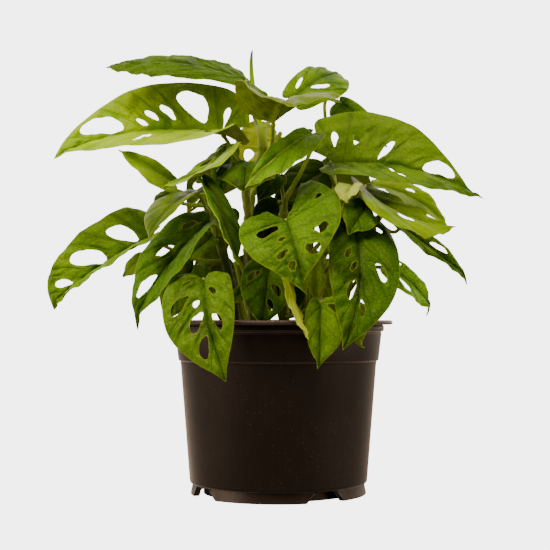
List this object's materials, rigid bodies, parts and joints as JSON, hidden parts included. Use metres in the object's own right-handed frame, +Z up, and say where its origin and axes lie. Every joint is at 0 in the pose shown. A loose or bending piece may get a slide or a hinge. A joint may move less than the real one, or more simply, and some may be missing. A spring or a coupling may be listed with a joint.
{
  "type": "monstera adansonii plant in a nursery pot",
  "caption": "Young Swiss cheese vine with holed, drip-tipped leaves on climbing stems, planted in a black plastic nursery pot.",
  "frame": {"origin": "middle of the whole plant's outline seen from above, on the ground under the pot's feet", "axes": "+Z up; -Y is the show side; the pot's axis is vertical, a little right of and before the origin"},
  "size_m": [0.2424, 0.1806, 0.254],
  "materials": {
    "pot": "dark brown-black injection moulded plastic, satin",
    "soil": "dark crumbly potting soil",
    "stem": "smooth olive green skin, satin",
    "leaf": "semi-gloss green leaf with sunken veins and a paler underside"
  },
  "bodies": {
    "root": {"pot": "pot", "soil": "soil", "stem_centre": "stem", "stem_left": "stem", "stem_right": "stem", "stem_front": "stem", "stem_back_left": "stem", "stem_back_right": "stem", "new_leaf": "leaf", "leaf_crown_left": "leaf", "leaf_upper_left": "leaf", "leaf_crown_front": "leaf", "leaf_crown_right": "leaf", "leaf_crown_back": "leaf", "leaf_small_left": "leaf", "leaf_shoulder_left": "leaf", "leaf_tucked_left": "leaf", "leaf_round_centre": "leaf", "leaf_long_centre": "leaf", "leaf_upper_right": "leaf", "leaf_behind_right": "leaf", "leaf_shoulder_right": "leaf", "leaf_folded_right": "leaf", "leaf_curled_small": "leaf", "leaf_heart_front": "leaf", "leaf_large_front": "leaf", "leaf_dark_right": "leaf", "leaf_low_right": "leaf", "leaf_thin_right": "leaf", "leaf_pale_rim": "leaf", "leaf_rim_front": "leaf", "leaf_rim_tip": "leaf", "leaf_olive_front": "leaf", "leaf_low_centre": "leaf", "leaf_dark_low": "leaf", "leaf_rim_left": "leaf", "leaf_large_left": "leaf", "leaf_wide_left": "leaf", "leaf_glossy_left": "leaf", "leaf_tip_left": "leaf", "leaf_olive_left": "leaf", "leaf_folded_left": "leaf", "leaf_inner_low": "leaf", "leaf_low_left": "leaf", "leaf_hanging_left": "leaf", "leaf_inner_round": "leaf", "leaf_inner_olive": "leaf", "leaf_inner_dark": "leaf", "leaf_back_1": "leaf", "leaf_back_2": "leaf", "leaf_back_3": "leaf", "leaf_back_4": "leaf", "leaf_back_5": "leaf", "leaf_back_6": "leaf", "leaf_back_7": "leaf"}
  },
  "joints": []
}
